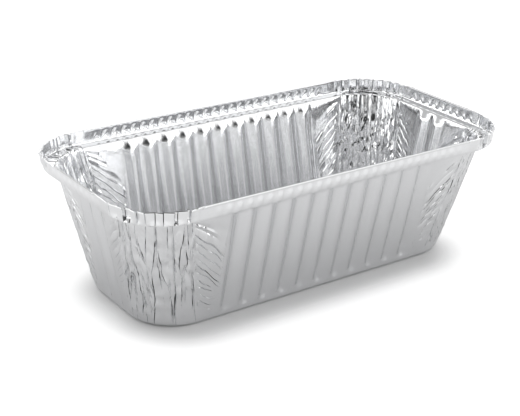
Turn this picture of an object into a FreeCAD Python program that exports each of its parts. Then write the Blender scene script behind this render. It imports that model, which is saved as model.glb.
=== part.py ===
import FreeCAD, Part
import math
import os

# Aluminium foil loaf tray, pressed from one sheet of foil, in millimetres.
# Z points up, X runs along the tray, and the origin is the middle of the base's underside.
# The sheet is laid out as columns around the tray and rows from the base to the rim.
# Each column and row meet in one point of the sheet's middle surface, and the two skins
# lie half a foil thickness either side of it, joined along the raw edge at the rim.

# Driving sizes of the whole tray
rim_length = 218.0
rim_width = 113.0
rim_corner_radius = 29.2
shelf_height = 60.0
end_wall_lean = 12.2
long_wall_lean = 13.5
corner_radius_lost_on_shelf = 4.9
corner_radius_lost_down_wall = 1.5
base_edge_radius = 2.5
foil_thickness = 0.09

# Shelf and upright lip of the rim
shelf_width = 5.4
lip_height = 6.9
lip_flare = 0.35
lip_ripple_depth = 0.3
lip_ripple_height = 2.6

# Rolled edge along the four straight runs, which stops short of the corners
curl_diameter = 1.2
curl_facets = 8
curl_turned_facets = 7

# Flutes pressed inwards in the walls, as many as fit between the plain stretches
flute_depth = 1.8
flute_crest_width = 2.0
flute_flank_width = 2.9
flute_land_width = 2.8
flute_nose_length = 5.0
flute_runout_length = 3.5
long_wall_plain_length = 8.0
end_wall_plain_length = 3.5

# Gathers of the spare foil in the four corners, two folds to each
gather_count = 10
gather_depth = 1.2
gather_unevenness = 0.3
crimp_depth = 0.9
crimp_height_step = 0.4
crimp_inset = 0.75

# How finely the sheet is cut into flat facets
plain_steps = 3
base_arc_steps = 2


def lerp(start, end, share):
    return start + (end - start) * share


class Level:
    """The sheet's plan at one height: a rounded rectangle, to the middle of the foil."""

    def __init__(self, length, width, radius):
        self.length = length
        self.width = width
        # An arc is never larger than the narrow side leaves room for
        self.radius = min(radius, 0.48 * min(length, width))

    def grown(self, amount):
        return Level(self.length + 2 * amount, self.width + 2 * amount, self.radius + amount)

    def arc_start(self, side):
        """How far from a side's middle its straight stretch ends."""
        return (self.length if side % 2 == 0 else self.width) / 2 - self.radius

    def outset(self, side):
        """How far a side lies from the tray's middle."""
        return (self.width if side % 2 == 0 else self.length) / 2


# Levels of the sheet, from the rim inwards and down
half_foil = foil_thickness / 2
overall_height = shelf_height + lip_height
rim_level = Level(rim_length, rim_width, rim_corner_radius)
lip_level = rim_level.grown(half_foil - curl_diameter)
lip_root_level = lip_level.grown(-lip_flare)
shelf_level = Level(lip_root_level.length - 2 * shelf_width, lip_root_level.width - 2 * shelf_width,
                    rim_corner_radius - corner_radius_lost_on_shelf)
base_level = Level(shelf_level.length - 2 * end_wall_lean, shelf_level.width - 2 * long_wall_lean,
                   shelf_level.radius - corner_radius_lost_down_wall)

# Heights and slopes that follow from them
wall_slope = math.atan2(shelf_height, (end_wall_lean + long_wall_lean) / 2)
arc_tangent = base_edge_radius * math.tan(wall_slope / 2)
arc_top_height = base_edge_radius * (1 - math.cos(wall_slope))
foot_height = arc_top_height + flute_runout_length
nose_height = shelf_height - flute_nose_length
curl_radius = curl_diameter / 2 - half_foil
curl_centre_height = overall_height - curl_diameter / 2

# Spacing of the flutes
flute_half_width = flute_crest_width / 2 + flute_flank_width
flute_pitch = 2 * flute_half_width + flute_land_width


def wall_level(height):
    """The wall's plan at a height, on its straight slope from the base to the shelf."""
    share = height / shelf_height
    return Level(lerp(base_level.length, shelf_level.length, share),
                 lerp(base_level.width, shelf_level.width, share),
                 lerp(base_level.radius, shelf_level.radius, share))


def flute_count(side):
    """How many flutes fit on a side between its two plain stretches."""
    plain = long_wall_plain_length if side % 2 == 0 else end_wall_plain_length
    room = base_level.arc_start(side) - plain - flute_half_width
    return int(2 * room / flute_pitch) + 1 if room >= 0 else 0


def fluted_reach(side):
    """How far from a side's middle the flutes go."""
    count = flute_count(side)
    return (count - 1) / 2 * flute_pitch + flute_half_width if count else 0.0


class Column:
    """One line of points up the sheet: its side, where it stands and what it shapes."""

    def __init__(self, side, kind, place, flute=0.0, gather=0.0):
        self.side = side
        self.kind = kind
        self.place = place
        self.flute = flute
        self.gather = gather

    def outward(self):
        """The horizontal direction that this column's side faces."""
        turn = self.side * math.pi / 2
        return FreeCAD.Vector(math.sin(turn), -math.cos(turn), 0)

    def point(self, level, push, height):
        """The column's point on a level, pushed outwards along the plan's normal."""
        if self.kind == "corner":
            angle = self.place * math.pi / 2
            reach = level.radius + push
            along = level.arc_start(self.side) + reach * math.sin(angle)
            out = level.outset(self.side) - level.radius + reach * math.cos(angle)
        else:
            out = level.outset(self.side) + push
            along = self.place
            if self.kind == "plain":
                reach = lerp(fluted_reach(self.side), level.arc_start(self.side), abs(self.place))
                along = math.copysign(reach, self.place)
        outward = self.outward()
        sideways = FreeCAD.Vector(-outward.y, outward.x, 0)
        return outward * out + sideways * along + FreeCAD.Vector(0, 0, height)


def flute_columns(side, centre):
    """The six columns of one flute: its two feet, half-way up each flank, its crest."""
    half_crest = flute_crest_width / 2
    half_flank = half_crest + flute_flank_width / 2
    shape = ((-flute_half_width, 0.0), (-half_flank, 0.5), (-half_crest, 1.0),
             (half_crest, 1.0), (half_flank, 0.5), (flute_half_width, 0.0))
    return [Column(side, "flute", centre + offset, flute=depth) for offset, depth in shape]


def gather_columns(side):
    """The columns of the corner after a side: folds in and out, uneven in depth and place."""
    folds = 2 * gather_count
    columns = []
    for fold in range(1, folds):
        way = 1.0 if fold % 2 else -1.0
        depth = 1.0 - gather_unevenness * (1.0 + math.sin(2.4 * fold + 1.7 * side))
        place = (fold + gather_unevenness * math.sin(3.1 * fold + side)) / folds
        columns.append(Column(side, "corner", place, gather=way * depth))
    return columns


def side_columns(side):
    """One side's columns in order along it, then those of the corner that follows."""
    count = flute_count(side)
    plain = [(step + 1) / plain_steps for step in range(plain_steps)]
    columns = [Column(side, "plain", -place) for place in reversed(plain)]
    for index in range(count):
        columns.extend(flute_columns(side, (index - (count - 1) / 2) * flute_pitch))
    columns.extend(Column(side, "plain", place) for place in plain)
    return columns + gather_columns(side)


columns = []
for side_number in range(4):
    columns.extend(side_columns(side_number))
column_count = len(columns)


def row_points(column):
    """One column's points, from the base panel's edge to the top of the lip."""
    points = []

    def add(level, push, height):
        points.append(column.point(level, push, height))

    # The rounded base edge, from the flat panel up to the wall
    for step in range(base_arc_steps + 1):
        angle = wall_slope * step / base_arc_steps
        inset = arc_tangent - base_edge_radius * math.sin(angle)
        rise = base_edge_radius * (1 - math.cos(angle))
        add(base_level.grown(-inset), 0.0, rise + half_foil)
    # The wall: the flute's foot, its middle, the start of its nose and the nose's middle
    wall_rows = ((foot_height, 1.0, 0.45), (lerp(foot_height, nose_height, 0.5), 1.0, 0.8),
                 (nose_height, 1.0, 1.0), (lerp(nose_height, shelf_height, 0.5), 0.65, 0.8))
    for height, flute_share, gather_share in wall_rows:
        fold = column.gather * gather_depth / 2 * gather_share
        add(wall_level(height), fold - column.flute * flute_depth * flute_share, height)
    # The shelf, from the top of the wall to the root of the lip
    add(shelf_level, 0.0, shelf_height)
    add(lip_root_level, 0.0, shelf_height)
    # The lip: crimped and splayed round the corners, rippled along the straight runs
    if column.kind == "corner":
        splay = curl_diameter - crimp_inset
        fold = column.gather * crimp_depth / 2
        drop = crimp_height_step * (1 - math.sin(5.3 * column.place * gather_count)) / 2
        add(lip_root_level, (splay + fold) / 2, shelf_height + lip_ripple_height)
        add(lip_root_level, splay + fold, overall_height - half_foil - drop)
    else:
        on_ridge = column.kind == "flute" and column.flute in (0.0, 1.0)
        ripple = lip_ripple_depth if on_ridge else 0.0
        flare = lip_flare * lip_ripple_height / (curl_centre_height - shelf_height)
        add(lip_root_level, flare + ripple, shelf_height + lip_ripple_height)
        add(lip_level, 0.0, curl_centre_height)
    return points


def curl_points(column):
    """The rolled edge beyond the lip's top at one column, as points with their normals."""
    points = []
    for step in range(1, curl_turned_facets + 1):
        angle = math.pi - 2 * math.pi * step / curl_facets
        spread = curl_radius + curl_radius * math.cos(angle)
        height = curl_centre_height + curl_radius * math.sin(angle)
        towards_middle = FreeCAD.Vector(0, 0, -math.sin(angle)) - column.outward() * math.cos(angle)
        points.append((column.point(lip_level.grown(spread), 0.0, height), towards_middle))
    return points


def straight_run(side):
    """Indices of the first and last column of a side's rolled edge."""
    run = [i for i, column in enumerate(columns)
           if column.side == side and column.kind != "corner"]
    return run[0], run[-1]


class Skin:
    """The closed skin: shared vertices and edges, and one flat face for each loop."""

    def __init__(self):
        self.vertices = {}
        self.edges = {}
        self.faces = []

    def vertex(self, name, point):
        self.vertices[name] = Part.Vertex(point)

    def edge(self, first, second):
        key = (first, second) if first < second else (second, first)
        if key not in self.edges:
            self.edges[key] = Part.Edge(self.vertices[key[0]], self.vertices[key[1]])
        return self.edges[key]

    def face(self, names):
        loop = [self.edge(names[i], names[(i + 1) % len(names)]) for i in range(len(names))]
        self.faces.append(Part.Face(Part.Wire(loop)))

    def quad(self, first, second, third, fourth):
        self.face((first, second, third))
        self.face((first, third, fourth))


def facet_normal(first, second, third, fourth):
    return (third - first).cross(fourth - second)


def sheet_normal(grid, index, row):
    """The sheet's outward normal at a grid point, from the facets that meet there."""
    total = FreeCAD.Vector(0, 0, 0)
    for left in (index - 1, index):
        right = (left + 1) % column_count
        for low in (row - 1, row):
            if 0 <= low < len(grid[0]) - 1:
                total = total + facet_normal(grid[left][low], grid[right][low],
                                             grid[right][low + 1], grid[left][low + 1])
    return total.normalize()


def build_tray():
    grid = [row_points(column) for column in columns]
    lip_row = len(grid[0]) - 1
    runs = [straight_run(side) for side in range(4)]
    skin = Skin()

    def add_pair(index, row, point, normal):
        skin.vertex(("outer", index, row), point + normal * half_foil)
        skin.vertex(("inner", index, row), point - normal * half_foil)

    for index in range(column_count):
        on_curl = columns[index].kind != "corner"
        for row, point in enumerate(grid[index]):
            if row == 0:
                normal = FreeCAD.Vector(0, 0, -1)
            elif row == lip_row and on_curl:
                normal = columns[index].outward()
            else:
                normal = sheet_normal(grid, index, row)
            add_pair(index, row, point, normal)
    # The rolled edge is straight, so only its two ends need points
    for run in runs:
        for index in run:
            for step, (point, normal) in enumerate(curl_points(columns[index])):
                add_pair(index, lip_row + 1 + step, point, normal)

    for side_name in ("outer", "inner"):
        skin.face([(side_name, index, 0) for index in range(column_count)])
        for index in range(column_count):
            after = (index + 1) % column_count
            for row in range(lip_row):
                skin.quad((side_name, index, row), (side_name, after, row),
                          (side_name, after, row + 1), (side_name, index, row + 1))
        for first, last in runs:
            lip_line = [(side_name, index, lip_row) for index in range(first, last + 1)]
            skin.face(lip_line + [(side_name, last, lip_row + 1), (side_name, first, lip_row + 1)])
            for row in range(lip_row + 1, lip_row + curl_turned_facets):
                skin.face(((side_name, first, row), (side_name, last, row),
                           (side_name, last, row + 1), (side_name, first, row + 1)))

    # The raw edge of the foil, from one skin to the other
    def raw_edge(start, end):
        skin.quad(("outer",) + start, ("outer",) + end, ("inner",) + end, ("inner",) + start)

    for side, (first, last) in enumerate(runs):
        raw_edge((first, lip_row + curl_turned_facets), (last, lip_row + curl_turned_facets))
        for row in range(lip_row, lip_row + curl_turned_facets):
            raw_edge((first, row), (first, row + 1))
            raw_edge((last, row), (last, row + 1))
        next_first = runs[(side + 1) % 4][0]
        index = last
        while index != next_first:
            after = (index + 1) % column_count
            raw_edge((index, lip_row), (after, lip_row))
            index = after

    tray = Part.Solid(Part.Shell(skin.faces))
    if tray.Volume < 0:
        tray.reverse()
    return tray


foil_tray = build_tray()
os.makedirs("parts", exist_ok=True)
foil_tray.exportStep("parts/foil_tray.step")
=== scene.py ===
# %% [markdown]
# # Aluminium foil loaf tray
# The object is one sheet of thin aluminium foil, pressed between two tools into a loaf tray.
# The press leaves three marks that make such a tray what it is: flutes in the straight walls,
# gathers where the corners have too much foil, and a rim whose edge is rolled outwards.
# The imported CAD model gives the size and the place. The looks are made here around it.

# %% Load the frame
import math

import bmesh
import bpy
import numpy as np
from mathutils import Matrix, Vector


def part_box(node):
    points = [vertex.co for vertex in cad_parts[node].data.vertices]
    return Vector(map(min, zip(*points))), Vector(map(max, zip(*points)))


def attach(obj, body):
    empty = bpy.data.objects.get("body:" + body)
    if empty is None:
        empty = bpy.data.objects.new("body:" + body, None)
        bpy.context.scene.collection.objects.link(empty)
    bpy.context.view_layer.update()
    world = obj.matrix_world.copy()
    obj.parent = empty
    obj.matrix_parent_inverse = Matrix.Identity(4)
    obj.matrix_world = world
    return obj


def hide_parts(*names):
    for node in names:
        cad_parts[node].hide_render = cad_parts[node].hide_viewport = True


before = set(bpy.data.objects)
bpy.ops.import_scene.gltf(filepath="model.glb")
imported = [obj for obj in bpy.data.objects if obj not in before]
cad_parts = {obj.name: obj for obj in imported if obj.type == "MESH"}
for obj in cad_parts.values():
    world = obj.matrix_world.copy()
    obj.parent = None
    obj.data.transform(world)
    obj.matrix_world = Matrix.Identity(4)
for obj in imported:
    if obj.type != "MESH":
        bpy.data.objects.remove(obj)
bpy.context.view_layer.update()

MM = 0.001
node_low, node_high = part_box("foil_tray")
rim_length, rim_width, overall_height = [(high - low) / MM for low, high in zip(node_low, node_high)]
print("tray over the rim, mm:", round(rim_length, 2), round(rim_width, 2), round(overall_height, 2))

# %% [markdown]
# ## The tray's sizes
# A pressed tray is easiest to describe as a profile, from the edge of the flat base up the
# wall, over the shelf, up the lip and round the rolled edge, that runs along a rounded
# rectangle. The rectangle and its corner radius grow with the height.
# All lengths are in millimetres here, and become metres when the sheet is shaped.

# %% Sizes of the profile and the plan
foil = 0.09
rim_corner_radius = 29.2
shelf_height = 60.0
shelf_width = 5.4
end_wall_lean = 12.2
long_wall_lean = 13.5
corner_radius_lost_on_shelf = 4.9
corner_radius_lost_down_wall = 1.5
base_edge_radius = 2.5
shelf_edge_radius = 0.8
lip_root_radius = 0.5
lip_flare = 0.35
curl_diameter = 1.2

curl_radius = (curl_diameter - foil) / 2
curl_centre_height = overall_height - curl_diameter / 2
lip_outset = foil / 2 - curl_diameter
root_outset = lip_outset - lip_flare
shelf_outset = root_outset - shelf_width
shelf_half_length = rim_length / 2 + shelf_outset
shelf_half_width = rim_width / 2 + shelf_outset
shelf_radius = rim_corner_radius - corner_radius_lost_on_shelf
root_radius = rim_corner_radius + root_outset

# %% [markdown]
# ## The profile, row by row
# Each row is one ring of the sheet. It is kept as how far down the leaning wall it is, how
# far it stands out from the shelf's inner edge, and how high it is. The round parts get
# enough rows to look round, and the long flat wall only a few, which are divided later
# where the foil is creased.

# %% Rows of the sheet, from the base panel to the end of the rolled edge
mean_wall_lean = (end_wall_lean + long_wall_lean) / 2
wall_slope = math.atan2(shelf_height, mean_wall_lean)
base_arc_steps = 4
wall_rows_runout = 3
wall_rows_plain = 6
wall_rows_nose = 5
shelf_arc_steps = 3
shelf_steps = 4
lip_root_steps = 2
lip_shares = (0.14, 0.3, 0.47, 0.65, 0.83, 1.0)
curl_steps = 8
curl_turn = math.radians(305)
runout_length = 3.6
nose_length = 5.6


def arc_rows(start, turn_from, turn_to, radius, steps):
    """Points after start along an arc whose direction turns between two angles."""
    bend = 1.0 if turn_to > turn_from else -1.0
    rows = []
    for step in range(1, steps + 1):
        angle = turn_from + (turn_to - turn_from) * step / steps
        rows.append((start[0] + bend * radius * (math.sin(angle) - math.sin(turn_from)),
                     start[1] - bend * radius * (math.cos(angle) - math.cos(turn_from))))
    return rows


# Each entry is (share down the wall's lean from -1 to 0, outset, height)
profile = []
base_tangent = base_edge_radius * math.tan(wall_slope / 2)
base_edge = arc_rows((-base_tangent, 0.0), 0.0, wall_slope, base_edge_radius, base_arc_steps)
for out, up in [(-base_tangent, 0.0)] + base_edge:
    profile.append((-1.0, out, up + foil / 2))
wall_start = profile.pop()[2]
edge_tangent = shelf_edge_radius * math.tan(wall_slope / 2)
wall_end = shelf_height - edge_tangent * math.sin(wall_slope)
heights = list(np.linspace(wall_start, wall_start + runout_length, wall_rows_runout + 1))
heights += list(np.linspace(heights[-1], shelf_height - nose_length, wall_rows_plain + 1))[1:]
first_plain_row = len(profile) + wall_rows_runout
last_plain_row = first_plain_row + wall_rows_plain
heights += list(np.linspace(heights[-1], wall_end, wall_rows_nose + 1))[1:]
for height in heights:
    profile.append((height / shelf_height - 1.0, 0.0, height))
edge_row = len(profile) - 1
edge_lean = profile[-1][0]
for out, up in arc_rows((0.0, wall_end), wall_slope, 0.0, shelf_edge_radius, shelf_arc_steps):
    profile.append((edge_lean, out, up))
shelf_row = len(profile) - 1
shelf_start = profile[-1][1]
root_start = shelf_width - lip_root_radius
for step in range(1, shelf_steps + 1):
    share = step / shelf_steps
    profile.append((edge_lean * (1 - share), shelf_start + (root_start - shelf_start) * share,
                    shelf_height))
lip_angle = math.atan2(curl_centre_height - shelf_height, lip_flare)
for out, up in arc_rows((root_start, shelf_height), 0.0, lip_angle, lip_root_radius, lip_root_steps):
    profile.append((0.0, out, up))
root_row = len(profile) - 1
lip_start = profile[-1]
curl_foot = shelf_width + lip_flare
for share in lip_shares:
    profile.append((0.0, lip_start[1] + (curl_foot - lip_start[1]) * share,
                    lip_start[2] + (curl_centre_height - lip_start[2]) * share))
lip_row = len(profile) - 1
profile_rows = len(profile) + curl_steps
print("rows", profile_rows, "wall ends at row", edge_row, "lip ends at row", lip_row)

# %% [markdown]
# ## The columns
# Round the tray, the sheet has columns: a few across each flute, at its folds, evenly spaced
# ones on the plain stretches, and close ones round the corners, where the foil is creased
# most.

# %% Columns of the sheet
flute_pitch = 10.6
flute_counts = (11, 2)
flute_columns = (0.5, 1.0, 1.5, 3.4, 3.9, 4.4)
plain_steps = (22, 12)
corner_steps = 84

column_side, column_kind, column_place = [], [], []


def add_column(side, kind, place):
    """Adds a column; its place is in mm on a flute, a share on a plain stretch, a step in a corner."""
    column_side.append(side)
    column_kind.append(kind)
    column_place.append(place)


for side in range(4):
    count = flute_counts[side % 2]
    plain = plain_steps[side % 2]
    for step in range(plain, 0, -1):
        add_column(side, "plain", -step / plain)
    for number in range(count):
        centre = (number - (count - 1) / 2) * flute_pitch
        add_column(side, "flute", centre - flute_pitch / 2)
        for offset in [-c for c in reversed(flute_columns)] + [0.0] + list(flute_columns):
            add_column(side, "flute", centre + offset)
    add_column(side, "flute", count / 2 * flute_pitch)
    for step in range(1, plain + 1):
        add_column(side, "plain", step / plain)
    for step in range(1, corner_steps):
        add_column(side, "corner", step)
column_side = np.array(column_side)
column_kind = np.array(column_kind)
column_place = np.array(column_place, dtype=float)
column_count = len(column_side)
print("columns", column_count)

# %% [markdown]
# ## A tube that becomes the sheet
# By hand one would start from a ring and extrude it upwards, row by row. That gives a tube
# with one vertical line for each column. The upright edges of the creased zones are then
# divided, so that the corners have finer rows than the fluted walls, and the bottom ring is
# filled as the flat base.

# %% Raise the tube
for chosen in bpy.context.selected_objects:
    chosen.select_set(False)
bpy.ops.mesh.primitive_circle_add(vertices=column_count, radius=1.0, fill_type="NOTHING")
tray = bpy.context.active_object
tray.name = "foil_tray_sheet"
tray.data.name = "foil_tray_sheet"
bpy.ops.object.mode_set(mode="EDIT")
bpy.ops.mesh.select_mode(type="VERT")
bpy.ops.mesh.select_all(action="SELECT")
for row in range(1, profile_rows):
    bpy.ops.mesh.extrude_region_move(TRANSFORM_OT_translate={"value": (0, 0, 1.0)})
print("tube rows", profile_rows)

# %% Divide the upright edges of the creased zones
fine_rows = 6
row_slack = 0.01


def column_of(x, y):
    """The column of points of the tube, from their direction round its axis."""
    turn = np.arctan2(y, x) % (2 * math.pi)
    return np.rint(turn / (2 * math.pi) * column_count).astype(int) % column_count


def is_upright_and_creased(edge):
    """Whether an edge rises by a row on the plain height of a corner or a plain stretch."""
    low, high = sorted((edge.verts[0].co.z, edge.verts[1].co.z))
    if high - low < 0.5 or low < first_plain_row - row_slack or high > last_plain_row + row_slack:
        return False
    middle = (edge.verts[0].co + edge.verts[1].co) / 2
    return column_kind[column_of(middle.x, middle.y)] != "flute"


bpy.ops.mesh.select_mode(type="EDGE")
bpy.ops.mesh.select_all(action="DESELECT")
edit = bmesh.from_edit_mesh(tray.data)
for edge in edit.edges:
    edge.select = bool(is_upright_and_creased(edge))
bmesh.update_edit_mesh(tray.data)
bpy.ops.mesh.subdivide(number_cuts=fine_rows - 1)
bpy.ops.mesh.select_all(action="DESELECT")
edit = bmesh.from_edit_mesh(tray.data)
for edge in edit.edges:
    edge.select = edge.verts[0].co.z < row_slack and edge.verts[1].co.z < row_slack
bmesh.update_edit_mesh(tray.data)
bpy.ops.mesh.edge_face_add()
bpy.ops.object.mode_set(mode="OBJECT")
print("sheet faces", len(tray.data.polygons))

# %% [markdown]
# ## The press
# The tube's points are now moved to the tray's shape by formula, as a press would. First
# come the plain levels, then what is pressed into them.

# %% Where each point of the tube lies on the sheet
points = np.empty(len(tray.data.vertices) * 3)
tray.data.vertices.foreach_get("co", points)
points = points.reshape(-1, 3)
column = column_of(points[:, 0], points[:, 1])
row = points[:, 2].copy()
side = column_side[column]
kind = column_kind[column]
place = column_place[column]
long_side = side % 2 == 0
in_corner = kind == "corner"
fluted_reach = np.where(long_side, flute_counts[0], flute_counts[1]) * flute_pitch / 2

profile_row = np.arange(len(profile), dtype=float)
profile_table = np.array(profile)
lean, outset, height = [np.interp(row, profile_row, profile_table[:, part]) for part in range(3)]
steps_out = np.gradient(profile_table[:, 1] + profile_table[:, 0] * mean_wall_lean)
steps_up = np.gradient(profile_table[:, 2])
lengths = np.hypot(steps_out, steps_up)
normal_out = np.interp(row, profile_row, steps_up / lengths)
normal_up = np.interp(row, profile_row, -steps_out / lengths)

push = np.zeros(len(row))
lift = np.zeros(len(row))
corner_share = np.where(in_corner, place / corner_steps, 0.0)


def on_plan(lean, outset):
    """Corner radius, start of the corner's arc, outset of the side and place along it."""
    on_shelf = np.clip(outset, 0, shelf_width)
    radius = (shelf_radius + corner_radius_lost_down_wall * lean + np.minimum(outset, 0)
              + on_shelf * (root_radius - shelf_radius) / shelf_width
              + np.maximum(outset - shelf_width, 0))
    half_length = shelf_half_length + end_wall_lean * lean + outset
    half_width = shelf_half_width + long_wall_lean * lean + outset
    arc_start = np.where(long_side, half_length, half_width) - radius
    side_outset = np.where(long_side, half_width, half_length)
    reach = fluted_reach + (arc_start - fluted_reach) * np.abs(place)
    along = np.where(kind == "plain", np.copysign(reach, place), place)
    return radius, arc_start, side_outset, along


def ease(low, high, value):
    """Rises smoothly from 0 at low to 1 at high."""
    share = np.clip((value - low) / (high - low), 0, 1)
    return share * share * (3 - 2 * share)


def soft_noise(x, y, wavelength, seed):
    """Smooth unevenness between about -1 and 1, from a few seeded waves."""
    wave_count = 7
    usual_peak = 3.2
    waves = np.random.default_rng(seed)
    total = np.zeros(len(x))
    for _ in range(wave_count):
        turn = waves.uniform(0, math.pi)
        length = wavelength * waves.uniform(0.7, 1.6)
        phase = waves.uniform(0, 2 * math.pi)
        total += np.sin(2 * math.pi * (x * math.cos(turn) + y * math.sin(turn)) / length + phase)
    return total / usual_peak


radius, arc_start, side_outset, along = on_plan(lean, outset)
print("points", len(row), "of which in corners", int(in_corner.sum()))

# %% [markdown]
# ## Flutes
# A flute is a rounded rib that the press pushes into the tray. It starts below the shelf
# with a sloping nose, which catches the light as a white tooth, and fades out at the base.

# %% Press the flutes
flute_depth = 1.8
flute_crest_half = 1.0
flute_flank = 2.9
flute_fold = 0.55
nose_spread = 1.2
nose_spread_heights = (50, 57)
nose_end = 55.0
nose_steepness = 1.05
runout_start = 1.2
runout_end = 6.0


def rounded_step(value, low, high, fold):
    """A straight flank from 1 at low to 0 at high, whose two folds are rounded."""
    share = (value - low) / (high - low)
    soft = fold / (high - low)

    def past(amount):
        """How far past a fold, with the fold rounded."""
        rounded = (amount + soft) ** 2 / (4 * soft)
        return np.where(amount < -soft, 0.0, np.where(amount < soft, rounded, amount))

    return 1 - (past(share) - past(share - 1))


flute_phase = np.where(long_side, 0.5, 0.0)
from_centre = np.abs((along / flute_pitch + flute_phase) % 1.0 - 0.5) * flute_pitch
from_centre = np.where(kind == "flute", from_centre, flute_pitch)
flute_foot = flute_crest_half + flute_flank + nose_spread * ease(*nose_spread_heights, height)
flute_shape = rounded_step(from_centre, flute_crest_half, flute_foot, flute_fold)
nose = np.clip((shelf_height - height) / (shelf_height - nose_end), 0, 1)
nose = np.minimum(1.0, nose * nose_steepness)
runout = ease(runout_start, runout_end, height)
on_wall = (row <= shelf_row) & (row > 0)
push -= np.where(on_wall, flute_depth * flute_shape * nose * runout, 0.0)
print("deepest flute, mm:", round(float(-push.min()), 2))

# %% [markdown]
# ## Fans beside the corners
# Between the corner and the first flute the wall is plain, but the corner's spare foil
# pulls it into soft ridges that start at the corner and slope down towards the flutes.
# Each of the eight stretches has its own strength, and every ridge its own length.

# %% Press the fans
fan_depth = 0.5
rows_per_fan = 3
fan_sharpness = 0.35
fan_root_share = 0.4
fan_root_length = 3.0
fan_end_length = 2.5
top_crest_pull = 0.45
top_crest_strength = 0.85
fan_curve = 0.006
fan_slope_heights = (0.0, 8.0, 15.0, 28.0, 40.0, 50.0, 54.4, 55.4, 56.4, 57.3, 58.2, 59.0)
fan_slopes = (0.0, 0.3, 0.55, 0.85, 0.88, 0.78, 0.68, 0.62, 0.55, 0.45, 0.32, 0.0)
fan_curve_heights = (0, 15, 40, 54, 59)
fan_curves = (0, 0.3, 1.0, 0.8, 0.0)
fan_reach_heights = (0, 12, 30, 45, 60)
fan_reaches = (0.3, 0.45, 0.8, 1.0, 1.0)
sway_width = 0.5
sway_turn = 0.55
sway_zone_turn = 2.1
sway_crest_turn = 0.8
most_crests = 20
fan_seed = 77
# Two zones for each side, the one at its start and the one at its end
zone_strengths = np.array([1.15, 0.5, 0.7, 0.9, 1.1, 1.6, 0.8, 0.8])
zone_reach = np.array([1.7, 1.5, 1.0, 1.0, 1.0, 1.3, 1.0, 1.0])
zone_fade = np.array([0.25, 0.35, 0.5, 0.5, 0.5, 0.3, 0.5, 0.5])
zone_count = len(zone_strengths)
fan_chances = np.random.default_rng(fan_seed)
fan_strength = np.clip(fan_chances.normal(0.95, 0.25, (zone_count, most_crests)), 0.5, 1.4)
fan_length = fan_chances.uniform(0.75, 1.35, (zone_count, most_crests))
fan_jitter = fan_chances.uniform(-0.9, 0.9, (zone_count, most_crests))

# Which ridge each point belongs to, and how many rows it is from the ridge's crest
on_plain = (kind == "plain") & (row >= first_plain_row) & (row < edge_row)
inwards = np.where(on_plain, arc_start - np.abs(along), 0.0)
zone_width = arc_start - fluted_reach
zone = (side * 2 + (place > 0)).astype(int)
fine_row = np.rint((row - first_plain_row) * fine_rows).astype(int)
top_crest = (last_plain_row - first_plain_row) * fine_rows // rows_per_fan
under_shelf = row > last_plain_row
fan_number = np.where(under_shelf, top_crest + np.ceil((row - last_plain_row) / 2),
                      np.rint(fine_row / rows_per_fan)).astype(int)
from_crest = np.where(under_shelf, (row - last_plain_row) % 2, fine_row - fan_number * rows_per_fan)
crest = np.clip(fan_number, 0, most_crests - 1)

# The ridges themselves
longest = zone_width * np.interp(height, fan_reach_heights, fan_reaches) * zone_reach[zone]
fade = np.clip(1 - inwards / (longest * fan_length[zone, crest]), 0, 1) ** zone_fade[zone]
at_root = fan_root_share + (1 - fan_root_share) * ease(0.0, fan_root_length, inwards)
fade *= at_root * ease(0.0, fan_end_length, zone_width - inwards)
strength = zone_strengths[zone] * fan_strength[zone, crest] * ease(4, 20, height)
strength = np.where(under_shelf, top_crest_strength * strength, strength)
push -= np.where(on_plain & (from_crest == 0), fan_depth * fade * strength, 0.0)

# Their slope, their sway and the rows that are pulled towards each crest
plain_height = profile_table[last_plain_row, 2] - profile_table[first_plain_row, 2]
fine_step = plain_height / ((last_plain_row - first_plain_row) * fine_rows)
pull = fine_step * (1 - fan_sharpness)
pulled = np.where(np.abs(from_crest) == 1, -np.sign(from_crest) * pull, 0.0)
pulled = np.where(under_shelf, np.where(from_crest == 1, top_crest_pull, 0.0), pulled)
sway_angle = inwards * sway_turn + sway_zone_turn * zone + sway_crest_turn * crest
sway = sway_width * np.sin(sway_angle) * ease(1, 6, inwards)
wander = np.where(row < last_plain_row, fan_jitter[zone, crest] + sway, 0.0)
bend = pulled + wander * ease(0.5, 3.0, inwards)
bend = np.where(on_plain & (row > first_plain_row), bend * ease(3, 9, height), 0.0)
droop = np.interp(height, fan_slope_heights, fan_slopes) * inwards
droop += fan_curve * inwards ** 2 * np.interp(height, fan_curve_heights, fan_curves)
bent = height + bend - np.where(on_plain, droop, 0.0)
lean = np.where(on_plain, bent / shelf_height - 1.0, lean)
height = np.where(on_plain, bent, height)
radius, arc_start, side_outset, along = on_plan(lean, outset)
print("ridges in each zone", top_crest + 1, "plus two below the shelf")

# %% [markdown]
# ## Gathers in the corners
# The corner arcs are shorter than the flat foil that has to fit in them, so the foil folds
# into upright pleats. Each pleat is a flat facet between two creases. The creases wander on
# their way down, so each one is given its own column of the sheet, which wanders with it,
# and stays sharp.

# %% How the creases run
near_left = 3
crease_heights = np.arange(0.0, 61.0, 4.0)
crease_count = 18
chance_clearance = 0.026
least_gap = 0.016
wander_heights = (0, 8, 35, 48, 60)
wander_shares = (0.2, 1.0, 1.0, 0.3, 0.05)
wander_step = 0.011
foot_pull = 0.03

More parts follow.
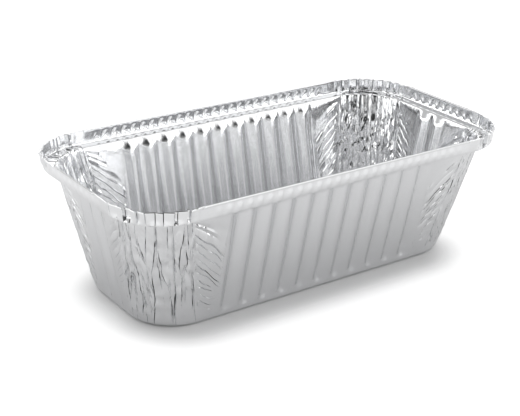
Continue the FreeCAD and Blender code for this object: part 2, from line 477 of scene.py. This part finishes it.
# The near left corner's longest creases: (height, share round the corner, depth) points
near_left_creases = (
    ((15, 0.03, 0.0), (18, 0.04, 0.5), (24, 0.067, 0.6), (29, 0.07, 0.4), (32, 0.075, 0.0)),
    ((2, 0.04, 0.2), (5, 0.05, 0.9), (11, 0.075, 0.9), (15, 0.12, 0.3), (21.5, 0.158, 0.7),
     (28, 0.175, 0.8), (33, 0.183, 0.2)),
    ((6.5, 0.279, 0.3), (14, 0.317, 0.9), (22.5, 0.296, 1.0), (31, 0.267, 1.0),
     (37.5, 0.233, 1.0), (42.5, 0.217, 0.6), (47, 0.212, 0.7), (54, 0.21, 0.0)),
    ((38, 0.385, 0.0), (40, 0.379, 0.8), (43, 0.352, 0.9), (46.5, 0.325, 0.6), (51, 0.31, 0.0)),
    ((39, 0.40, 0.0), (42, 0.404, 0.5), (56, 0.433, 0.5)),
    ((3, 0.429, 0.8), (15, 0.467, 1.0), (24, 0.467, 0.9), (30, 0.45, 0.4), (37.5, 0.496, 0.7),
     (45, 0.521, 0.8), (51.5, 0.533, 0.3)),
    ((23, 0.65, 0.0), (25, 0.637, 0.6), (31, 0.565, 1.0), (33, 0.575, 0.3), (35, 0.583, 0.9),
     (41, 0.558, 0.7), (44, 0.55, 0.0)),
    ((7, 0.637, 0.0), (9, 0.638, 0.6), (13.5, 0.65, 0.6), (16, 0.655, 0.0), (47, 0.667, 0.0),
     (48, 0.667, 0.5), (56.5, 0.683, 0.5)),
    ((6, 0.68, 0.0), (8, 0.688, 0.9), (16.5, 0.704, 0.8), (19, 0.71, 0.0)),
    ((14, 0.78, 0.0), (16, 0.787, 0.4), (28.5, 0.812, 0.5), (34, 0.779, 0.3),
     (42, 0.804, 0.6), (50, 0.854, 0.7), (54, 0.867, 0.3)),
    ((31, 0.85, 0.0), (32.5, 0.858, 0.9), (37, 0.896, 1.0), (40.5, 0.883, 0.5), (43, 0.88, 0.0)),
)


def drawn_crease(points):
    """Share and depth at each crease height, from a crease drawn as points."""
    at, share, depth = np.array(points).T
    inside = (crease_heights >= at[0]) & (crease_heights <= at[-1])
    return (np.interp(crease_heights, at, share),
            np.where(inside, np.interp(crease_heights, at, depth), 0.0))


def chance_crease(share, draw):
    """Share and depth of a crease that starts, wanders and ends by chance."""
    steps = draw.uniform(-1, 1, len(crease_heights))
    steps *= np.interp(crease_heights, wander_heights, wander_shares)
    walk = np.cumsum(steps[::-1])[::-1] * wander_step
    pull = draw.uniform(-foot_pull, foot_pull) * np.interp(crease_heights, (0, 20, 45), (1, 1, 0))
    depth = np.convolve(draw.uniform(-0.9, 1.0, len(crease_heights)), (0.3, 0.7, 0.3), "same")
    upper = np.interp(crease_heights, (38, 46, 58, 60), (0.0, 1.0, 1.0, 0.4))
    depth = np.maximum(depth * (1 - 0.5 * upper), draw.uniform(0.25, 0.8) * upper)
    return share + walk + pull, np.maximum(depth, 0.0) * np.interp(crease_heights, (0, 5), (0.2, 1))


def corner_creases(corner, draw):
    """Shares and depths of a corner's creases, in order, between the corner's two ends."""
    creases = [drawn_crease(points) for points in (near_left_creases if corner == near_left else ())]
    taken = [float(np.mean(share)) for share, _ in creases]
    for number in range(crease_count):
        share = (number + 0.5 + draw.uniform(-0.3, 0.3)) / crease_count
        if not taken or min(abs(share - other) for other in taken) > chance_clearance:
            creases.append(chance_crease(share, draw))
    creases.sort(key=lambda crease: float(np.mean(crease[0])))
    level_end = np.zeros(len(crease_heights))
    shares = np.array([level_end] + [share for share, _ in creases] + [level_end + 1])
    depths = np.array([level_end] + [depth for _, depth in creases] + [level_end])
    for number in range(1, len(shares)):
        shares[number] = np.maximum(shares[number], shares[number - 1] + least_gap)
    for number in range(len(shares) - 2, -1, -1):
        shares[number] = np.minimum(shares[number], shares[number + 1] - least_gap)
    shares[0] = 0.0
    return shares, depths


# %% Crease the corners
crease_seed = 300
crease_half = 0.24
crease_most_share = 0.3
groove_depth = 1.25
facet_relief = (0.7, 0.55, 0.7, 0.95)
facet_columns = 3
facet_starts = (0.1, 0.8)
facet_drift = 0.35
facet_jitter = 0.55
facet_heights = (0, 6, 14, 45, 60)
facet_shares = (0.0, 0.7, 1.0, 0.8, 0.6)
crumple_depth = np.array([0.2, 0.22, 0.2, 0.22])
crumple_spread = 40
crumple_squeeze = 0.35
crumple_wavelength = 3.6
crumple_seed = 71
corner_arc = shelf_radius * math.pi / 2


def own_columns(shares, least):
    """A column of the corner for each share, at least so many columns apart."""
    columns = np.rint(shares * corner_steps).astype(int)
    for number in range(1, len(columns)):
        columns[number] = max(columns[number], columns[number - 1] + least)
    columns[-1] = corner_steps
    for number in range(len(columns) - 2, 0, -1):
        columns[number] = min(columns[number], columns[number + 1] - least)
    return columns


def facet_levels(corner, count, draw):
    """How far each crease's line stands out at each crease height, in turn outwards and inwards."""
    shape = (count, len(crease_heights))
    sign = np.where(np.arange(count) % 2 == 0, 1.0, -1.0)[:, None]
    levels = sign * draw.uniform(*facet_starts, shape)
    levels += np.cumsum(draw.uniform(-0.5, 0.5, shape), axis=1) * facet_drift
    levels += draw.uniform(-facet_jitter, facet_jitter, shape)
    levels = np.clip(levels, -1, 1) * facet_relief[corner]
    levels *= np.interp(crease_heights, facet_heights, facet_shares)
    levels[0] = levels[-1] = 0
    return levels


def at_crease(table, which, z):
    """The table's values at the heights z, each from the row of its own crease."""
    values = np.zeros(len(z))
    for number in range(len(table)):
        mine = which == number
        values[mine] = np.interp(z[mine], crease_heights, table[number])
    return values


def crease_corner(corner):
    """Moves one corner's columns to its creases, and pushes its facets and grooves."""
    draw = np.random.default_rng(crease_seed + corner)
    shares, depths = corner_creases(corner, draw)
    levels = facet_levels(corner, len(shares), draw)
    owner = own_columns(shares.mean(axis=1), facet_columns)
    chosen = in_corner & (side == corner) & (row < root_row)
    z = np.minimum(height[chosen], shelf_height)
    left = np.clip(np.searchsorted(owner, place[chosen], side="right") - 1, 0, len(shares) - 2)
    right = left + 1
    low, high = at_crease(shares, left, z), at_crease(shares, right, z)
    step, steps = place[chosen] - owner[left], owner[right] - owner[left]
    near = np.minimum(crease_half / corner_arc, crease_most_share * (high - low)) / (high - low)
    inner = near + (1 - 2 * near) * (step - 1) / np.maximum(steps - 2, 1)
    within = np.where(step == 0, 0.0, inner)
    corner_share[chosen] = low + (high - low) * within
    fold = at_crease(levels, left, z) * (1 - within) + at_crease(levels, right, z) * within
    fold -= np.where(step == 0, at_crease(depths, left, z) * groove_depth, 0.0)
    fold += np.where(step == 0, 0.0, crumpling[chosen])
    push[chosen] += fold * np.interp(row[chosen], (edge_row, root_row), (1.0, 0.25))


round_corner = corner_share * crumple_spread + 60 * side
crumple_field = soft_noise(round_corner, height * crumple_squeeze, crumple_wavelength, crumple_seed)
crumpling = (1 - 2 * np.abs(crumple_field)) * crumple_depth[side] * ease(3, 10, height)
crumpling *= 1 - ease(42, 52, height)
for corner in range(4):
    crease_corner(corner)
print("furthest in and out so far, mm:", round(float(push.min()), 2), round(float(push.max()), 2))

# %% [markdown]
# ## The rim
# The shelf falls a little outwards. Along the straight runs the lip has two small ripples
# for each flute, which lean at the back and at the right end. Round the corners it is
# crimped into narrow upright panels, with a sharp fold between each two. Its edge is rolled
# outwards along the straight runs only, and pressed flat in the corners.

# %% Ripple the lip
ripple_pitch = flute_pitch / 2
ripple_depth = np.array([0.6, 1.05, 1.12, 0.45])
ripple_lean = np.array([0.0, 0.8, 1.2, 0.0])
ripple_half = 2.4
ripple_roundness = 1.3
ripple_narrowing = 0.45
ripple_middle = 0.47
ripple_top = 0.83
ripple_ends = (62, 76)
end_wall_stretch = 2.9
shelf_rise = -0.4
shelf_wave = 0.09

up_lip = np.clip((height - shelf_height) / (curl_centre_height - shelf_height), 0, 1)
up_lip = np.where(row > root_row - 2, up_lip, 0.0)
up_lip = np.where(row > lip_row, 1.0, up_lip)
leaning = along + ripple_lean[side] * up_lip
from_ripple = np.abs((leaning / ripple_pitch + 0.5) % 1.0 - 0.5) * ripple_pitch
ripple_width = ripple_half * (1 - ripple_narrowing * up_lip)
ripple_bulge = np.clip(1 - (from_ripple / ripple_width) ** 2, 0, 1)
ripple = ripple_depth[side] * ripple_bulge ** ripple_roundness
ripple_rise = np.minimum(up_lip / ripple_middle, (ripple_top - up_lip) / (ripple_top - ripple_middle))
ripple *= np.clip(ripple_rise, 0, 1)
from_middle = np.where(long_side, np.abs(along), np.abs(along) * end_wall_stretch)
rippled = np.where(in_corner, 0.0, 1 - ease(*ripple_ends, from_middle))
push += np.where(row > root_row, ripple * rippled, 0.0)
on_shelf = (row >= shelf_row) & (row <= root_row)
waves = shelf_wave * np.cos(2 * math.pi * along / ripple_pitch)
waves *= np.interp(row, (shelf_row, root_row), (0.2, 1.0))
lift += np.where(on_shelf, waves * rippled, 0.0)
lift += shelf_rise * np.interp(row, (shelf_row, root_row), (0, 1)) * (1 - up_lip)
print("ripple depths, mm:", ripple_depth)

# %% Crimp the lip round the corners
crimp_seed = 400
panel_gap = 0.2
panels_end = corner_arc - 2.0
narrow_chance = 0.6
narrow_widths = (1.0, 1.5)
narrow_levels = (-1.2, -0.7)
wide_levels = (-0.5, -0.15)
panel_tilts = (0.05, 0.25)
panel_drops = (0.0, 0.55)
panel_grooves = (0.2, 1.2)
panel_slant = 0.006
crimp_root_share = 0.45
crimp_fade_columns = 4
panel_columns = 4
panel_widths = ((1.5, 3.2), (1.4, 2.6), (1.4, 2.8), (2.0, 4.2))
groove_scale = (-1.0, 0.6, 0.6, -1.0)
deep_fold_share = 0.3
deep_fold_depth = 1.9
crimp_drop = np.zeros(len(row))


def corner_panels(corner, draw):
    """Borders, levels at both borders, drops and border grooves of a corner's panels."""
    widths, levels, drops, grooves = [], [], [], []
    while sum(widths) < panels_end:
        narrow = len(widths) % 2 == 1 and draw.random() < narrow_chance
        widths.append(draw.uniform(*(narrow_widths if narrow else panel_widths[corner])))
        middle = draw.uniform(*(narrow_levels if narrow else wide_levels))
        tilt = draw.choice((-1, 1)) * draw.uniform(*panel_tilts) * widths[-1] ** 0.8
        levels.append((middle - tilt, middle + tilt))
        drops.append(draw.uniform(*panel_drops))
        grooves.append(draw.uniform(*panel_grooves))
    ends = np.concatenate(([0.0], np.cumsum(widths))) / sum(widths)
    levels = np.array(levels)
    grooves = np.array(grooves) * groove_scale[corner]
    grooves[0] = 0.0
    if corner == near_left:
        folded = int(np.argmin(np.abs((ends[:-1] + ends[1:]) / 2 - deep_fold_share)))
        levels[folded] = -deep_fold_depth
    return ends, levels, np.array(drops), grooves


def crimp_corner(corner):
    """Moves the lip's columns to its panels, and pushes the panels and the folds between them."""
    draw = np.random.default_rng(crimp_seed + corner)
    ends, levels, drops, grooves = corner_panels(corner, draw)
    first = own_columns(ends, panel_columns)
    slant = draw.uniform(-panel_slant, panel_slant, len(ends))
    slant[0] = slant[-1] = 0
    chosen = in_corner & (side == corner) & (row >= root_row - 1)
    column_step = place[chosen]
    panel = np.clip(np.searchsorted(first, column_step, side="right") - 1, 0, len(levels) - 1)
    in_groove = column_step == first[panel]
    across = (column_step - first[panel] - 1) / (first[panel + 1] - first[panel] - 2)
    gap = panel_gap / corner_arc
    border = ends[panel] + slant[panel] * up_lip[chosen]
    low = border + gap
    high = ends[panel + 1] + slant[panel + 1] * up_lip[chosen] - gap
    corner_share[chosen] = np.where(in_groove, border, low + (high - low) * across)
    crimp = levels[panel, 0] * (1 - across) + levels[panel, 1] * across
    before = levels[np.maximum(panel - 1, 0), 1]
    beside = np.where(grooves[panel] < 0, np.minimum(before, levels[panel, 0]),
                      np.maximum(before, levels[panel, 0]))
    crimp = np.where(in_groove, beside + grooves[panel], crimp)
    ends_fade = ease(0, crimp_fade_columns, column_step)
    ends_fade *= 1 - ease(corner_steps - crimp_fade_columns, corner_steps, column_step)
    push[chosen] += crimp * ease(0.0, crimp_root_share, up_lip[chosen]) * ends_fade
    crimp_drop[chosen] = drops[panel] * ends_fade


for corner in range(4):
    crimp_corner(corner)
print("lip dropped by up to, mm:", round(float(crimp_drop.max()), 2))

# %% Roll the edge
# Where the roll starts and ends along each side, as the side is seen from outside
roll_ends = np.array([(-78.3, 74.9), (-20.7, 24.9), (-75.2, 74.1), (-22.3, 19.4)])
roll_fade = 1.6
flat_turn = 0.7
flat_radius = 0.45
flat_drop = 0.1
corner_splay = 0.35
knot_depth = 0.35
knot_length = 0.9

roll_from, roll_to = roll_ends[side].T
rolled = ease(0, roll_fade, along - roll_from) * ease(0, roll_fade, roll_to - along)
rolled = np.where(in_corner, 0.0, rolled)
flattened = 1 - rolled
on_curl = row > lip_row
curl_row = np.clip(row - lip_row, 0, curl_steps)
curl_angle = math.pi - curl_turn * curl_row / curl_steps * (flat_turn + (1 - flat_turn) * rolled)
curl_across = curl_radius * (flat_radius + (1 - flat_radius) * rolled)
outset = np.where(on_curl, curl_foot + curl_across * (1 + np.cos(curl_angle)), outset)
height = np.where(on_curl, curl_centre_height + curl_radius * np.sin(curl_angle), height)
knot = knot_depth * np.exp(-((along - roll_from) / knot_length) ** 2)
knot += knot_depth * np.exp(-((along - roll_to) / knot_length) ** 2)
push -= np.where(~in_corner & (row > root_row), knot * up_lip, 0.0)
push += np.where(row > root_row, corner_splay * up_lip * flattened, 0.0)
lift -= np.where(row > root_row, (crimp_drop + flat_drop * flattened) * up_lip, 0.0)
radius, arc_start, side_outset, along = on_plan(lean, outset)
print("rolled share of the rim:", round(float(rolled[on_curl].mean()), 2))

# %% [markdown]
# ## Handling dents
# No foil is quite flat. A faint unevenness all over the walls breaks up the reflections.

# %% Dent the foil a little
dent_depth = 0.03
dent_wavelength = 14.0
dent_seed = 21
round_tray = along + 80 * side + 40 * corner_share
dent = dent_depth * soft_noise(round_tray, height, dent_wavelength, dent_seed)
push += np.where(on_wall, dent * runout, 0.0)
print("deepest dent, mm:", round(float(np.abs(dent).max()), 3))

# %% [markdown]
# ## Into space
# Each point now has its side, its place along it, a push at right angles to the sheet and a
# lift. That is enough to place it. The sheet is then given the foil's thickness.

# %% Move the points
box_clearance = 0.01
push_out = push * np.where(on_curl, 1.0, normal_out)
push_up = push * np.where(on_curl, 0.0, normal_up)
turn = corner_share * math.pi / 2
local_along = np.where(in_corner, arc_start + (radius + push_out) * np.sin(turn), along)
local_out = np.where(in_corner, side_outset - radius + (radius + push_out) * np.cos(turn),
                     side_outset + push_out)
facing = side * math.pi / 2
x = local_along * np.cos(facing) + local_out * np.sin(facing)
y = local_along * np.sin(facing) - local_out * np.cos(facing)
most_x = (rim_length - foil) / 2 - box_clearance
most_y = (rim_width - foil) / 2 - box_clearance
x = np.clip(x, -most_x, most_x)
y = np.clip(y, -most_y, most_y)
z = height + push_up + lift
tray.data.vertices.foreach_set("co", (np.column_stack((x, y, z)) * MM).ravel())
tray.data.update()
print("sheet spans, mm:", [round(float(np.ptp(values)), 2) for values in (x, y, z)])

# %% Mark where the foil is crinkled
corner_crinkle = np.array([0.8, 0.6, 0.6, 1.0])
fan_crinkle = 0.35
crinkle = np.where(kind == "plain", fan_crinkle * np.abs(place), 0.0)
crinkle = np.where(in_corner, corner_crinkle[side], crinkle)
crinkle = np.where((row > 0) & (row <= edge_row), crinkle, 0.0) * ease(2, 8, height)
tray.data.attributes.new("crinkled", "FLOAT", "POINT").data.foreach_set("value", crinkle)
print("crinkled share of the points:", round(float((crinkle > 0).mean()), 2))

# %% Give the foil its thickness
smooth_below = math.radians(38)
bpy.ops.object.mode_set(mode="EDIT")
bpy.ops.mesh.select_all(action="SELECT")
bpy.ops.mesh.normals_make_consistent(inside=False)
bpy.ops.object.mode_set(mode="OBJECT")
solidify = tray.modifiers.new("thickness", "SOLIDIFY")
solidify.thickness = foil * MM
solidify.offset = 0.0
bpy.ops.object.modifier_apply(modifier=solidify.name)
bpy.ops.object.shade_smooth_by_angle(angle=smooth_below)
tray.data.calc_loop_triangles()
print("triangles", len(tray.data.loop_triangles))

# %% [markdown]
# ## The foil's finish
# Rolled aluminium is a bright metal, nearly a mirror, with fine lines from the rolls. A
# metallic shader with a low roughness gives that. Three bumps are laid on it: the lines of
# the rolls, a faint crumple all over, and an upright crinkle in the corners, whose strength
# comes from the attribute that was written into the mesh.

# %% Foil material
foil_colour = (0.8, 0.805, 0.815, 1)
foil_roughness = 0.13
roll_line_scale = (900, 900, 25)
roll_line_bump = {"Strength": 0.35, "Distance": 0.0001}
crumple_grain = {"Scale": 420, "Detail": 3}
crumple_bump = {"Strength": 0.25, "Distance": 0.0002}
crinkle_scale = (300, 300, 60)
crinkle_grain = {"Scale": 1.0, "Detail": 2, "Distortion": 0.8}
crinkle_distance = 0.0012


def add_node(tree, node_type, inputs=None, **settings):
    """Adds a shader node, whose inputs are given values or the outputs that feed them."""
    node = tree.nodes.new(node_type)
    for name, value in settings.items():
        setattr(node, name, value)
    for name, value in (inputs or {}).items():
        if isinstance(value, bpy.types.NodeSocket):
            tree.links.new(value, node.inputs[name])
        else:
            node.inputs[name].default_value = value
    return node


def add_bump(grain, below, strengths):
    """Adds a bump from a noise's height, on top of the normal from below if there is one."""
    inputs = {"Height": grain.outputs["Fac"], **strengths}
    if below is not None:
        inputs["Normal"] = below.outputs["Normal"]
    return add_node(foil_tree, "ShaderNodeBump", inputs)


foil_material = bpy.data.materials.new("bright_foil")
foil_material.use_nodes = True
foil_tree = foil_material.node_tree
shader = foil_tree.nodes["Principled BSDF"]
shader.inputs["Base Color"].default_value = foil_colour
shader.inputs["Metallic"].default_value = 1.0
shader.inputs["Roughness"].default_value = foil_roughness
on_tray = add_node(foil_tree, "ShaderNodeTexCoord").outputs["Object"]
crinkled = add_node(foil_tree, "ShaderNodeAttribute", attribute_name="crinkled")

crinkle_stretch = add_node(foil_tree, "ShaderNodeMapping", {"Vector": on_tray, "Scale": crinkle_scale})
crinkle_noise = add_node(foil_tree, "ShaderNodeTexNoise",
                         {"Vector": crinkle_stretch.outputs["Vector"], **crinkle_grain})
line_stretch = add_node(foil_tree, "ShaderNodeMapping", {"Vector": on_tray, "Scale": roll_line_scale})
line_noise = add_node(foil_tree, "ShaderNodeTexNoise",
                      {"Vector": line_stretch.outputs["Vector"], "Scale": 1.0, "Detail": 2})
crumple_noise = add_node(foil_tree, "ShaderNodeTexNoise", {"Vector": on_tray, **crumple_grain})

crinkle_strengths = {"Strength": crinkled.outputs["Fac"], "Distance": crinkle_distance}
creased_normal = add_bump(crinkle_noise, None, crinkle_strengths)
lined_normal = add_bump(line_noise, creased_normal, roll_line_bump)
foil_normal = add_bump(crumple_noise, lined_normal, crumple_bump)
foil_tree.links.new(foil_normal.outputs["Normal"], shader.inputs["Normal"])
tray.data.materials.clear()
tray.data.materials.append(foil_material)
print("foil material nodes", len(foil_tree.nodes))

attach(tray, "root")
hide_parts("foil_tray")

# %% [markdown]
# ## Studio
# Metal shows what is around it, so the room matters more than the lamp. Low down the room
# is a bright backdrop, and above it darker. Dark patches stand where the flutes' noses and
# flanks look, and a bright one where the inner walls look. The white floor glows by itself
# away from the tray, by one amount where it is seen and by another where the foil shows it.
# Near the tray the glow is held back, which paints a shadow round the tray on top of the
# real one, and a wider painted shade on the floor that the foil reflects.

# %% Floor, with a painted shadow round the tray
floor_size = 6.0
floor_colour = (0.8, 0.8, 0.8, 1)
base_radius = 0.022
# Painted shadow: rectangles that the glow keeps away from, so the floor is darker round the tray, as
# (shift, half size), in metres
seen_painted_shadow = ((-0.004, -0.006), (0.062, 0.014))
reflected_painted_shadow = ((0.008, 0.002), (0.068, 0.014))
# Where a glow starts and ends, in metres past the base's corner radius, and its strength; short of the
# start there is no glow, which paints the shadow round the tray
seen_shadow_and_glow_limits = (-0.002, 0.02, 0.5)
reflected_shadow_and_glow_limits = (-0.005, 0.25, 0.34)
for chosen in bpy.context.selected_objects:
    chosen.select_set(False)
bpy.ops.mesh.primitive_plane_add(size=floor_size, location=(0, 0, 0))
floor = bpy.context.active_object
floor.name = "studio_floor"
floor_material = bpy.data.materials.new("white_floor_with_painted_shadow")
floor_material.use_nodes = True
floor_tree = floor_material.node_tree
floor_tree.nodes.remove(floor_tree.nodes["Principled BSDF"])
ground = add_node(floor_tree, "ShaderNodeTexCoord").outputs["Object"]
ray_kinds = add_node(floor_tree, "ShaderNodeLightPath").outputs


def floor_step(operation, *values):
    """The result of one vector step on the floor's coordinates."""
    node = add_node(floor_tree, "ShaderNodeVectorMath", dict(enumerate(values)), operation=operation)
    return node.outputs["Value" if operation == "LENGTH" else "Vector"]


def floor_sum(operation, first, second):
    """The result of one sum on two of the floor's values."""
    node = add_node(floor_tree, "ShaderNodeMath", {0: first, 1: second}, operation=operation)
    return node.outputs["Value"]


def distance_past_painted_shadow(shift, half):
    """Distance on the floor from a painted shadow's rectangle of the given half size, moved by shift.
    """
    moved = floor_step("SUBTRACT", ground, (*shift, 0))
    folded = floor_step("ABSOLUTE", moved)
    beyond = floor_step("SUBTRACT", folded, (*half, 0))
    return floor_step("LENGTH", floor_step("MAXIMUM", beyond, (0, 0, 0)))


def glow_past_painted_shadow(ray, away, start, end, most):
    """The floor's glow for one kind of ray, from nothing near the tray, where it paints a shadow, to
    most further out.
    """
    limits = {"From Min": base_radius + start, "From Max": base_radius + end, "To Max": most}
    spread = add_node(floor_tree, "ShaderNodeMapRange", {"Value": away, **limits},
                      interpolation_type="SMOOTHSTEP")
    return floor_sum("MULTIPLY", spread.outputs["Result"], ray)


# Both glows fade out near the tray: a painted shadow round it, as seen and as the foil reflects it, on
# top of the paper's real shadow.
reflected = floor_sum("MAXIMUM", ray_kinds["Is Glossy Ray"], ray_kinds["Is Transmission Ray"])
seen_glow_and_painted_shadow = glow_past_painted_shadow(ray_kinds["Is Camera Ray"], distance_past_painted_shadow(*seen_painted_shadow), *seen_shadow_and_glow_limits)
reflected_glow_and_painted_shadow = glow_past_painted_shadow(reflected, distance_past_painted_shadow(*reflected_painted_shadow), *reflected_shadow_and_glow_limits)
floor_glow_and_painted_shadow = floor_sum("MAXIMUM", seen_glow_and_painted_shadow, reflected_glow_and_painted_shadow)
paper = add_node(floor_tree, "ShaderNodeBsdfDiffuse", {"Color": floor_colour})
glow = add_node(floor_tree, "ShaderNodeEmission", {"Strength": floor_glow_and_painted_shadow})
lit_paper = add_node(floor_tree, "ShaderNodeAddShader", {0: paper.outputs[0], 1: glow.outputs[0]})
floor_tree.links.new(lit_paper.outputs[0], floor_tree.nodes["Material Output"].inputs["Surface"])
floor.data.materials.append(floor_material)
print("floor size, m:", floor_size)

# %% Room light
world = bpy.data.worlds.new("studio_room")
bpy.context.scene.world = world
world.use_nodes = True
room = world.node_tree
direction = add_node(room, "ShaderNodeTexCoord").outputs["Generated"]


def towards(azimuth, elevation):
    """A direction in the room, azimuth 0 being the side that the long front wall faces."""
    around, up = math.radians(azimuth), math.radians(elevation)
    return (math.sin(around) * math.cos(up), -math.cos(around) * math.cos(up), math.sin(up))


def room_blend(measure, low, high, below, above):
    """Brightness that goes from below to above while a measure rises from low to high."""
    share = add_node(room, "ShaderNodeMapRange", {"Value": measure, "From Min": low, "From Max": high},
                     interpolation_type="SMOOTHSTEP")
    mix = add_node(room, "ShaderNodeMix", {"Factor": share.outputs["Result"], "A": below, "B": above})
    return mix.outputs["Result"]


def room_patch(azimuth, elevation, inner, outer, value, below):
    """Mixes a patch of brightness into the room, round a direction, and returns the mix."""
    dot = add_node(room, "ShaderNodeVectorMath", {0: direction, 1: towards(azimuth, elevation)},
                   operation="DOT_PRODUCT")
    outer_edge, inner_edge = math.cos(math.radians(outer)), math.cos(math.radians(inner))
    return room_blend(dot.outputs["Value"], outer_edge, inner_edge, below, value)


def room_band(low, high, below, above):
    """Brightness that changes from one value to another between two elevations."""
    apart = add_node(room, "ShaderNodeSeparateXYZ", {"Vector": direction})
    lower_edge, upper_edge = math.sin(math.radians(low)), math.sin(math.radians(high))
    return room_blend(apart.outputs["Z"], lower_edge, upper_edge, below, above)


below_horizon = 0.1
backdrop = 2.2
upper_room = 0.6
# Each patch is (azimuth, elevation, where it is full, where it ends, brightness), in degrees
room_patches = (
    (141, 27, 6, 14, 0.5),
    (-38, 6, 20, 53, 0.5),
    (38, 42, 12, 30, 1.35),
    (-29, 33, 16, 28, 0.03),
    (-56, 38, 14, 24, 0.05),
    (-2, 38, 8, 18, 0.05),
)
brightness = room_band(1, 8, below_horizon, backdrop)
brightness = room_band(14, 27, brightness, upper_room)
for patch in room_patches:
    brightness = room_patch(*patch, brightness)
room.links.new(brightness, room.nodes["Background"].inputs["Color"])
room.nodes["Background"].inputs["Strength"].default_value = 1.0
print("patches in the room", len(room_patches))

# %% Lamp
softbox_place = Vector((-0.18, 0.08, 1.1))
softbox_size = 1.0
softbox_power = 3.5
lamp = bpy.data.lights.new("overhead_softbox", "AREA")
lamp.shape = "SQUARE"
lamp.size = softbox_size
lamp.energy = softbox_power
softbox = bpy.data.objects.new("overhead_softbox", lamp)
bpy.context.collection.objects.link(softbox)
softbox.location = softbox_place
softbox.rotation_euler = (-softbox_place).to_track_quat("-Z", "Y").to_euler()
print("softbox power, W:", softbox_power)

# %% [markdown]
# ## Camera
# The place, turn and lens come from matching the tray's edges in the photograph.

# %% Camera
azimuth = math.radians(-35.51)
elevation = math.radians(23.05)
roll = math.radians(1.22)
distance = 611.7 * MM
target = Vector((-0.11, 11.93, 24.24)) * MM
focal_pixels = 1214.59
frame_pixels = 520
sensor_width = 36.0
backwards = Vector((math.sin(azimuth) * math.cos(elevation),
                    -math.cos(azimuth) * math.cos(elevation), math.sin(elevation)))
level_right = (-backwards).cross(Vector((0, 0, 1))).normalized()
level_up = level_right.cross(-backwards)
right = level_right * math.cos(roll) + level_up * math.sin(roll)
upward = level_up * math.cos(roll) - level_right * math.sin(roll)
camera = bpy.data.objects.new("camera", bpy.data.cameras.new("camera"))
bpy.context.collection.objects.link(camera)
camera.data.sensor_width = sensor_width
camera.data.lens = focal_pixels * sensor_width / frame_pixels
turned = Matrix((right, upward, backwards)).transposed().to_4x4()
camera.matrix_world = Matrix.Translation(target + backwards * distance) @ turned
bpy.context.scene.camera = camera
bpy.context.scene.view_settings.view_transform = "Standard"
print("camera lens, mm:", round(camera.data.lens, 1))
